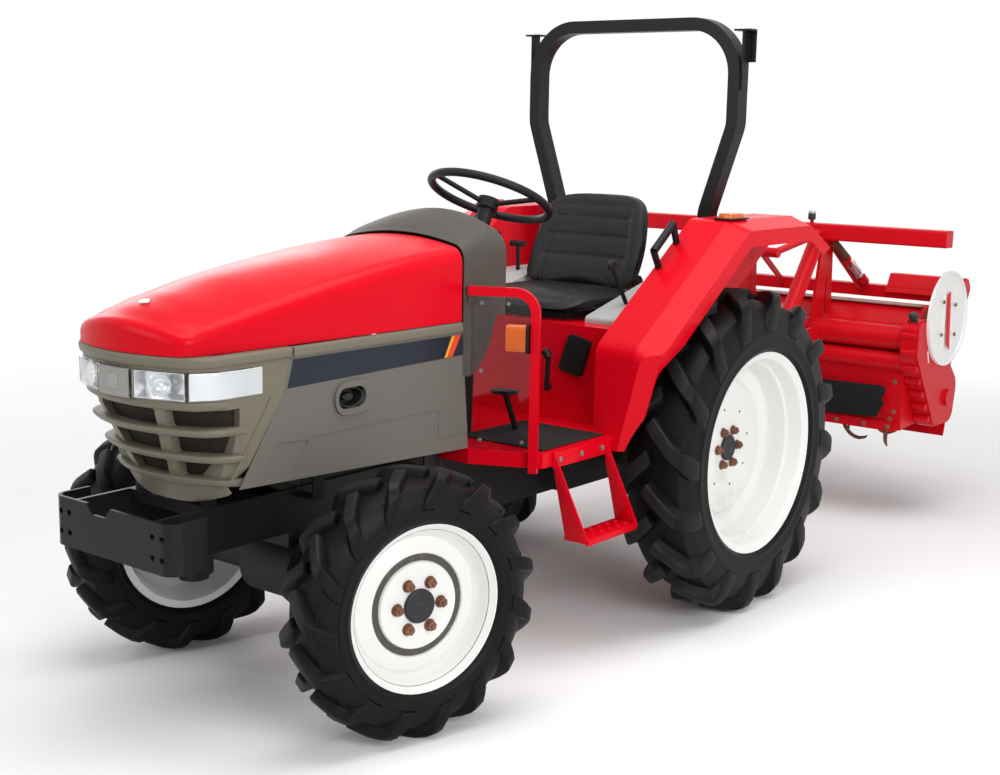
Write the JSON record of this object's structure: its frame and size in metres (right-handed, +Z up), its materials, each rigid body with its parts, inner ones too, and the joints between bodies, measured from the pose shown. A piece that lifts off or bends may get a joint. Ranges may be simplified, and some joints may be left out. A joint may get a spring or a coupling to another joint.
{
  "type": "compact tractor with mounted rotary tiller",
  "caption": "Compact four-wheel farm tractor with open driver place, roll bar, hinged bonnet and steering, carrying a raised rotary tiller on its three-point linkage.",
  "frame": {"origin": "on the ground under the middle of the whole machine", "axes": "+X forward, +Y to the machine's left, +Z up"},
  "size_m": [3.8891, 1.4, 1.9268],
  "materials": {
    "red_paint": "gloss",
    "black_paint": "satin",
    "white_paint": "gloss",
    "panel_taupe": "satin",
    "cowl_grey": "satin",
    "grille_taupe": "satin",
    "lens": "gloss",
    "amber": "gloss",
    "clear_sheet": "gloss",
    "screen": "matte",
    "tyre": "matte",
    "vinyl": "satin",
    "mat": "matte",
    "casting": "satin",
    "steel": "worn",
    "black_plastic": "matte",
    "console_grey": "satin",
    "rust": "rusty"
  },
  "bodies": {
    "chassis": {"amber_lamps": "amber", "consoles": "console_grey", "controls": "black_plastic", "cowl": "cowl_grey", "driver_seat": "vinyl", "engine_block": "casting", "fenders": "red_paint", "floor": "red_paint", "floor_mat": "mat", "front_axle": "casting", "front_bracket": "black_paint", "front_frame": "black_paint", "gear_case": "casting", "grab_handles": "black_paint", "grille_frame": "grille_taupe", "grille_screen": "screen", "guard_hoops": "red_paint", "guard_panes": "clear_sheet", "headlamps": "lens", "roll_bar": "black_paint", "seat_base": "black_plastic", "seat_deck": "red_paint", "side_panels": "panel_taupe", "steering_post": "black_plastic", "steps": "red_paint"},
    "bonnet": {"bonnet": "red_paint"},
    "steering_wheel": {"steering_wheel": "black_plastic"},
    "tie_rod": {"tie_rod": "black_paint"},
    "lower_links": {"lower_links": "black_paint"},
    "lift_arms": {"lift_arms": "black_paint"},
    "lift_rods": {"lift_rods": "black_paint"},
    "top_link": {"top_link": "steel"},
    "drive_shaft": {"drive_shaft": "steel"},
    "tiller": {"tiller_frame": "red_paint", "tiller_axle_tube": "red_paint", "chain_case": "red_paint", "tiller_hood": "red_paint", "side_disc": "white_paint"},
    "tiller_rotor": {"tiller_rotor": "rust"},
    "tiller_rear_cover": {"tiller_rear_cover": "red_paint"},
    "knuckle_left": {"knuckle_left": "casting"},
    "front_wheel_left": {"front_tyre_left": "tyre", "front_rim_left": "white_paint"},
    "rear_wheel_left": {"rear_tyre_left": "tyre", "rear_rim_left": "white_paint"},
    "knuckle_right": {"knuckle_right": "casting"},
    "front_wheel_right": {"front_tyre_right": "tyre", "front_rim_right": "white_paint"},
    "rear_wheel_right": {"rear_tyre_right": "tyre", "rear_rim_right": "white_paint"}
  },
  "joints": [
    {"name": "steer_left", "type": "hinge", "parent": "chassis", "child": "knuckle_left", "pos_m": [1.3565, 0.403, 0.354], "axis": [0, 0, 1], "range_deg": [-25, 55]},
    {"name": "steer_right", "type": "hinge", "parent": "chassis", "child": "knuckle_right", "pos_m": [1.3565, -0.403, 0.354], "axis": [0, 0, 1], "range_deg": [-25, 55]},
    {"name": "tie_rod_pivot", "type": "hinge", "parent": "knuckle_left", "child": "tie_rod", "pos_m": [1.20195, 0.44441, 0.406], "axis": [0, 0, 1], "range_deg": [-55, 25]},
    {"name": "steering_wheel_turn", "type": "hinge", "parent": "chassis", "child": "steering_wheel", "pos_m": [0.4895, 0, 1.343], "axis": [-0.4131, 0, 0.9107], "range_deg": [-325, 715]},
    {"name": "front_left_spin", "type": "hinge", "parent": "knuckle_left", "child": "front_wheel_left", "pos_m": [1.37798, 0.48317, 0.354], "axis": [0.2588, 0.9659, 0], "continuous": true},
    {"name": "front_right_spin", "type": "hinge", "parent": "knuckle_right", "child": "front_wheel_right", "pos_m": [1.33502, -0.48317, 0.354], "axis": [0.2588, 0.9659, 0], "continuous": true},
    {"name": "rear_left_spin", "type": "hinge", "parent": "chassis", "child": "rear_wheel_left", "pos_m": [-0.1115, 0.557, 0.527], "axis": [0, 1, 0], "continuous": true},
    {"name": "rear_right_spin", "type": "hinge", "parent": "chassis", "child": "rear_wheel_right", "pos_m": [-0.1115, -0.557, 0.527], "axis": [0, 1, 0], "continuous": true},
    {"name": "bonnet_lift", "type": "hinge", "parent": "chassis", "child": "bonnet", "pos_m": [0.9125, 0, 1.25], "axis": [0, -1, 0], "range_deg": [0, 50]},
    {"name": "lower_link_lift", "type": "hinge", "parent": "chassis", "child": "lower_links", "pos_m": [-0.2015, 0, 0.395], "axis": [0, 1, 0], "range_deg": [-15.5, 3]},
    {"name": "lift_arm_turn", "type": "hinge", "parent": "chassis", "child": "lift_arms", "pos_m": [-0.3415, 0, 0.86], "axis": [0, 1, 0], "range_deg": [-25.6, 5]},
    {"name": "lift_rod_swing", "type": "hinge", "parent": "lift_arms", "child": "lift_rods", "pos_m": [-0.6115, 0, 0.975], "axis": [0, 1, 0], "range_deg": [-5, 25.5]},
    {"name": "top_link_swing", "type": "hinge", "parent": "chassis", "child": "top_link", "pos_m": [-0.4415, 0, 0.83], "axis": [0, 1, 0], "range_deg": [-20.4, 4]},
    {"name": "drive_shaft_swing", "type": "hinge", "parent": "chassis", "child": "drive_shaft", "pos_m": [-0.4615, 0, 0.52], "axis": [0, 1, 0], "range_deg": [-16.8, 3.3]},
    {"name": "tiller_pitch", "type": "hinge", "parent": "lower_links", "child": "tiller", "pos_m": [-0.9615, 0, 0.64], "axis": [0, 1, 0], "range_deg": [-2.6, 13.3]},
    {"name": "rotor_spin", "type": "hinge", "parent": "tiller", "child": "tiller_rotor", "pos_m": [-1.6715, 0, 0.5], "axis": [0, 1, 0], "continuous": true},
    {"name": "rear_cover_lift", "type": "hinge", "parent": "tiller", "child": "tiller_rear_cover", "pos_m": [-1.9115, 0, 0.64], "axis": [0, 1, 0], "range_deg": [0, 60]}
  ],
  "couplings": [
    {"joint": "steer_right", "follows": "steer_left", "ratio": 1},
    {"joint": "tie_rod_pivot", "follows": "steer_left", "ratio": -1},
    {"joint": "steering_wheel_turn", "follows": "steer_left", "ratio": 13},
    {"joint": "lift_arm_turn", "follows": "lower_link_lift", "ratio": 1.645},
    {"joint": "lift_rod_swing", "follows": "lower_link_lift", "ratio": -1.62},
    {"joint": "top_link_swing", "follows": "lower_link_lift", "ratio": 1.31},
    {"joint": "drive_shaft_swing", "follows": "lower_link_lift", "ratio": 1.075},
    {"joint": "tiller_pitch", "follows": "lower_link_lift", "ratio": -0.85}
  ]
}
